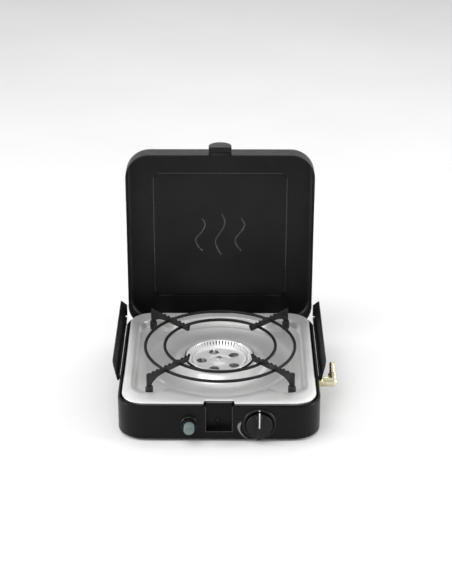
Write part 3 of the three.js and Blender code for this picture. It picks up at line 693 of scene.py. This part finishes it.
def flame_scale():
    """A printed wedge beside the dial that swells towards the high flame, from (x, z, half width) points."""
    inner, outer = [], []
    for x, y, half in FLAME_SCALE:
        reach = math.hypot(x, y)
        inner.append((x * (reach - half) / reach, y * (reach - half) / reach))
        outer.append((x * (reach + half) / reach, y * (reach + half) / reach))
    wedge = along_front(prism(inner + outer[::-1], 159.9, 160.12), KNOB_X, DIAL_Z)
    finished(wedge, "flame_scale", "grey_mark", "case")


def igniter():
    trim = [(10.8, 160.3), (13.5, 160.3), (13.5, 161.8), (12.6, 163.3), (11.4, 163.3), (10.8, 162.7)]
    ring = lathe(trim, 56)
    along_front(ring, PIEZO_X, DIAL_Z)
    finished(softened(ring, 0.2, 2, 20), "igniter_ring", "black_plastic", "case", ["piezo_bezel"])
    mouth = [(8.7, 169.7), (9.2, 170), (10.0, 170), (10.5, 169.5)]
    sleeve = lathe([(8.7, 128)] + mouth + [(10.5, 158), (12.4, 158), (12.4, 128)], 56)
    along_front(sleeve, PIEZO_X, DIAL_Z)
    finished(sleeve, "igniter_sleeve", "black_plastic", "case", ["piezo_igniter"])
    cap = lathe([(0, 140), (8.3, 140), (8.3, 180.4), (7.9, 181.4), (6.9, 181.9), (3, 181.6), (0, 181.5)], 48)
    along_front(cap, PIEZO_X, DIAL_Z)
    finished(cap, "igniter_cap", "grey_button", "igniter_button", ["piezo_button"])


# ---------- Gas inlet ----------
def inlet():
    hexagon = [(10.3 * math.cos(k * PI / 3), 10.3 * math.sin(k * PI / 3)) for k in range(6)]
    nut = prism(hexagon, 160.5, 167.4)
    chamfer = lathe([(0, 160.5), (9.4, 160.5), (10.4, 161.3), (10.4, 166.6), (9.4, 167.4), (0, 167.4)], 48)
    carve(nut, chamfer, operation="INTERSECT")
    carve(nut, rod(6.9, 150, 170))
    softened(nut, 0.15, 1)
    along_x(nut, 0, -24, 32)
    finished(nut, "inlet_hex_nut", "brass", "case", ["inlet_nut"])
    tilt = Matrix.Translation((185, -24, 32)) @ Matrix.Rotation(math.radians(-30), 4, "X")
    barrel = [(6.9, -17), (6.9, -8.5), (3, -8.3), (3, -4), (0, -4), (0, 8.6)]
    ball = [(8.6 * math.cos(a), 8.6 * math.sin(a)) for a in [PI / 2 * k / 12 for k in range(11, -1, -1)]]
    profile = barrel + ball + [(8.6, -12.2), (8.2, -12.6), (8.2, -13.6), (8.6, -14), (8.6, -16.4), (8.1, -17)]
    elbow = along_x(lathe(profile, 56), 0, 0, 0)
    neck = rod(6.6, 1, 13, 40)
    carve(elbow, neck, operation="UNION")
    softened(elbow, 0.3, 2, 40)
    finished(elbow, "brass_elbow", "brass", "case", ["inlet_elbow"], matrix=tilt)
    barb = [(2.5, 13.3), (5.9, 13.3), (5.9, 14.4), (4.5, 15.0)]
    for ridge in range(3):
        z = 15.3 + ridge * 5.2
        barb += [(4.1, z), (5.0, z + 0.5), (5.2, z + 0.9), (5.1, z + 1.3), (4.2, z + 4.9)]
    barb += [(3.8, 31.5), (3.4, 32), (2.5, 32)]
    finished(lathe(barb, 48), "hose_tail", "brass", "case", ["hose_barb"], matrix=tilt, angle=25)


# ---------- Lid ----------
def lid_ring(half, radius, z):
    return [(x, y - HINGE_Y, z) for x, y, z in square_ring(half, half, radius, z, 18)]


def lid_pressing():
    """The lid pressing, closed: a deep tray with a hemmed free edge and a pressed panel."""
    top, rim = LID_TOP, LID_RIM
    rings = [lid_ring(110.4, 7, top - 1.5), lid_ring(111.2, 8, top - 1.45), lid_ring(113, 9.5, top - 0.2)]
    rings += [lid_ring(114, 10, top)]
    rings += [lid_ring(151.2 + x, 33.2 + x, top - 8 + z) for x, z in arc(0, 0, 8, 90, 0, 10)]
    rings += [lid_ring(159.2, 41.2, rim + 3.4)]
    rings += [lid_ring(158.2 + x, 40.2 + x, rim + 1.0 + z) for x, z in arc(0, 0, 1.0, 0, -90, 4)]
    rings += [lid_ring(157.7 + x, 39.7 + x, rim + 1.0 + z) for x, z in arc(0, 0, 1.0, 270, 180, 4)]
    rings += [lid_ring(156.7, 38.7, rim + 3.2), lid_ring(158.1, 40.1, rim + 3.8)]
    rings += [lid_ring(151.1 + x, 33.1 + x, top - 8 + z) for x, z in arc(0, 0, 7, 0, 90, 10)]
    rings += [lid_ring(114.6, 10.6, top - 1), lid_ring(113.4, 9.6, top - 1.3)]
    rings += [lid_ring(111.4, 8.4, top - 2.35), lid_ring(110.4, 7.4, top - 2.5)]
    shell = loft(rings)
    y0 = -HINGE_Y
    tools = [box(-17.5, 17.5, y0 - 164, y0 - 155.5, rim - 1, rim + 3.2)]
    for side in (-1, 1):
        x0, x1 = sorted((side * 155.8, side * 162))
        tools.append(box(x0, x1, y0 - 76, y0 + 115, rim - 1, rim + 4.5))
    carve(shell, *tools)
    finished(shell, "lid_pressing", "black_coat", "lid", ["lid_shell"], matrix=LID, angle=40)

    # The panel's narrow edge step gets the lighter coat: a painted highlight along the panel's outline.
    def on_panel_edge(at):
        reach = max(abs(at.x), abs(at.y + HINGE_Y))
        return 113.7 < reach < 114.3 and LID_TOP - 1.3 < at.z < LID_TOP - 0.9

    second_look(shell, "coat_painted_highlight", on_panel_edge, LID)


def lid_motif():
    """Three rising heat waves, embossed in the middle of the pressed panel."""
    z = LID_TOP - 2.5
    for k, x0 in enumerate((-34, 0, 34)):
        reach = 30 if k != 1 else 38
        points = []
        for i in range(61):
            t = i / 60
            y = -reach + 2 * reach * t
            points.append((x0 + 8 * math.sin(2 * PI * t * 1.0 + 0.3), y - HINGE_Y - 2, z))
        wave = tube(points, 1.3, 12)
        moved(wave, Matrix.Translation((0, 0, z * 0.62)) @ Matrix.Diagonal((1, 1, 0.38, 1)))
        # The waves wear the lighter coat: a painted highlight on the embossing.
        finished(wave, f"heat_wave_{k + 1}", "coat_painted_highlight", "lid", matrix=LID, angle=60)


def lid_parts():
    for side in ("left", "right"):
        refined(f"hinge_leaf_{side}", "zinc_steel", "lid", 0.3)
        refined(f"hinge_bracket_{side}", "zinc_steel", "case", 0.4)
        refined(f"hinge_pin_{side}", "zinc_steel", "case", 0.4)
    refined("catch_bracket", "black_coat", "lid", 0.25)
    refined("catch_pin", "black_coat", "lid", 0.2)


def catch():
    """The flip catch: a D-shaped grip, hollow and ribbed on the side that faces the cook."""
    cy, cz = -160.6 - HINGE_Y, LID_RIM - 0.7
    outline = [(-19, 1.2), (19, 1.2), (19, 9)]
    outline += [(19 * math.cos(a), 9 + 19 * math.sin(a)) for a in [PI * k / 36 for k in range(1, 36)]]
    outline += [(-19, 9)]
    body = prism(outline, -1, 12.4)
    clear = [along_x(rod(2.9, a, b, 24)) for a, b in ((-20, -13.8), (13.8, 20))]
    carve(body, along_x(rod(2.7, -13.6, 13.6, 32)), operation="UNION")
    carve(body, along_x(rod(1.8, -15, 15, 24)), *clear)
    for x0, x1 in ((-16.6, -9), (-7.6, 7.6), (9, 16.6)):
        carve(body, box(x0, x1, 3.4, 14, 2.4, 11))
    softened(body, 0.6, 3, 40)
    place = LID @ Matrix.Translation((0, cy, cz)) @ Matrix.Rotation(PI / 2, 4, "X")
    finished(body, "flip_catch", "black_plastic", "catch", ["lid_catch"], matrix=place)


# ---------- Windshields ----------
def windshields():
    for side in ("left", "right"):
        refined(f"windshield_{side}", "black_coat", f"{side}_windshield", 0.35)
        refined(f"windshield_wire_{side}", "black_wire", "case", 0.2)
        for place in ("front", "back"):
            refined(f"shield_lug_{side}_{place}", "black_coat", "case", 0.4)


# ---------- Pan support ----------
def support_rings():
    turns = [2 * PI * i / 144 for i in range(144)]
    for name, radius in (("ring_outer", RING_OUTER), ("ring_inner", RING_INNER)):
        circle = [(radius * math.cos(t), radius * math.sin(t), RING_Z) for t in turns]
        bar = tube(circle, WIRE_RADIUS, 18, closed=True)
        finished(bar, name + "_bar", "black_wire", "pan_support", [name], matrix=SUPPORT)


def tooth_line():
    """The blade's top edge, from the outside in, as rounded teeth."""
    top = BLADE_TOP
    points = [(164, PAD_Z + 3), (164, top - 0.8), (163.2, top), (159.5, top)]
    x = 159.5
    while x > 76:
        for t in range(1, 13):
            phase = t / 12
            wave = 0.5 - 0.5 * math.cos(2 * PI * min(1, max(0, (phase - 0.15) / 0.85)))
            points.append((x - TOOTH_PITCH * phase, top - TOOTH_DEPTH * wave**0.8))
        x -= TOOTH_PITCH
    points += [(73.4, top - 0.6), (72.2, top - 2.2), (72.0, top - 4.5), (73.5, RING_Z - 0.6)]
    points += [(75, RING_Z - 1.4), (126, RING_Z - 1.4)]
    a, b, c = (126, RING_Z - 1.4), (149, RING_Z - 2), (155.2, PAD_Z + 17.5)
    for i in range(1, 11):
        t = i / 10
        points.append(tuple((1 - t) ** 2 * a[k] + 2 * t * (1 - t) * b[k] + t * t * c[k] for k in (0, 1)))
    return points + [(155.2, PAD_Z + 3)]


def blades():
    for corner, (sx, sy) in CORNERS.items():
        turn = SUPPORT @ Matrix.Rotation(math.atan2(sy, sx), 4, "Z")
        plate = softened(prism(tooth_line(), -BLADE_HALF, BLADE_HALF), 0.55, 2, 50)
        upright = turn @ Matrix.Rotation(PI / 2, 4, "X")
        name = f"toothed_blade_{corner}"
        finished(plate, name, "black_wire", "pan_support", [f"blade_{corner}"], matrix=upright)
        rings = [(5.4, 3.2, 0.3), (5.8, 3.6, 1.1), (5.8, 3.6, 14.6), (5.3, 3.1, 15.9)]
        cap = loft([square_ring(a, b, 1.3, PAD_Z + z, 5) for a, b, z in rings])
        moved(cap, Matrix.Translation((CAP_REACH, 0, 0)))
        socket = box(CAP_REACH - 4.8, CAP_REACH + 4.8, -1.9, 1.9, PAD_Z + 2.6, PAD_Z + 18)
        softened(carve(cap, socket), 0.25, 2, 40)
        name = f"end_cap_{corner}"
        finished(cap, name, "black_rubber", "pan_support", [f"foot_cap_{corner}"], matrix=turn)


# ---------- Pieces that keep their CAD shape ----------
KEPT = {
    "bottom_pan": "zinc_steel",
    "burner_body": "cast_alloy",
    "thermocouple": "stainless",
    "spark_electrode": "ceramic_tip",
    "gas_valve": "brass",
    "gas_jet": "brass",
    "mixing_tube": "zinc_steel",
    "gas_pipe": "brass",
    "inlet_stub": "brass",
    "valve_stem": "brass",
}


def dress_kept_nodes():
    for node, look in KEPT.items():
        mesh_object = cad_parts[node]
        mesh_object.data.materials.clear()
        mesh_object.data.materials.append(LOOKS[look])


# ---------- Room, lights and camera ----------
def floor():
    mat, tree, bsdf = shader("pale_floor", grey(0.83), 0.6, specular=0.2)
    vary_color(tree, bsdf, noise_at(tree, 3, 2), grey(0.82), grey(0.85))
    mesh = bpy.data.meshes.new("floor")
    mesh.from_pydata([(-9, -9, 0), (9, -9, 0), (9, 9, 0), (-9, 9, 0)], [], [(0, 1, 2, 3)])
    obj = bpy.data.objects.new("floor", mesh)
    bpy.context.scene.collection.objects.link(obj)
    mesh.materials.append(mat)


def softbox(name, place, target, size, power, tint=(1, 1, 1)):
    data = bpy.data.lights.new(name, "AREA")
    data.shape = "RECTANGLE"
    data.size, data.size_y = size
    data.energy = power
    data.color = tint
    lamp = bpy.data.objects.new(name, data)
    lamp.location = place
    lamp.rotation_euler = (Vector(target) - Vector(place)).to_track_quat("-Z", "Y").to_euler()
    bpy.context.scene.collection.objects.link(lamp)


def room():
    world = bpy.data.worlds.new("studio")
    bpy.context.scene.world = world
    world.use_nodes = True
    tree = world.node_tree
    background = tree.nodes["Background"]
    place = tree.nodes.new("ShaderNodeTexCoord")
    split = tree.nodes.new("ShaderNodeSeparateXYZ")
    tree.links.new(place.outputs["Generated"], split.inputs["Vector"])
    bands = [(0.0, grey(0.75)), (0.25, grey(0.9)), (0.62, grey(0.52)), (1.0, grey(0.8))]
    sky = ramp(tree, split.outputs["Z"], bands)
    tree.links.new(sky, background.inputs["Color"])
    background.inputs["Strength"].default_value = 0.95


def camera():
    data = bpy.data.cameras.new("camera")
    data.lens = 96.37
    data.sensor_width = 36
    data.shift_x = 0.0111
    data.clip_start = 0.05
    obj = bpy.data.objects.new("camera", data)
    pitch, yaw = math.radians(26.0), math.radians(-0.318)
    ahead = Vector((math.sin(yaw) * math.cos(pitch), math.cos(yaw) * math.cos(pitch), -math.sin(pitch)))
    target = SHIFT + Vector((0, 0, 183.04 * MM))
    obj.location = target - ahead * 2.52046
    obj.rotation_euler = ahead.to_track_quat("-Z", "Y").to_euler()
    bpy.context.scene.collection.objects.link(obj)
    bpy.context.scene.camera = obj


case_pressing()
recess_liner()
recess_stud()
rubber_feet()
top_pressing()
crown()
slot_shadow()
dish()
dish_fixing()
knob_collar()
knob()
flame_scale()
igniter()
inlet()
lid_pressing()
lid_motif()
lid_parts()
catch()
windshields()
support_rings()
blades()
dress_kept_nodes()
floor()
room()
softbox("key", (-0.7, -0.7, 2.2), (0, 0, 0.05), (1.6, 1.6), 20)
softbox("left_strip", (-1.7, -0.25, 0.5), (0, 0, 0.12), (0.4, 1.2), 22)
softbox("right_strip", (1.7, -0.25, 0.5), (0, 0, 0.12), (0.4, 1.2), 22)
softbox("rim", (0.4, 1.6, 1.6), (0, 0, 0.15), (2.2, 0.8), 10)
camera()
bpy.context.scene.view_settings.view_transform = "Standard"
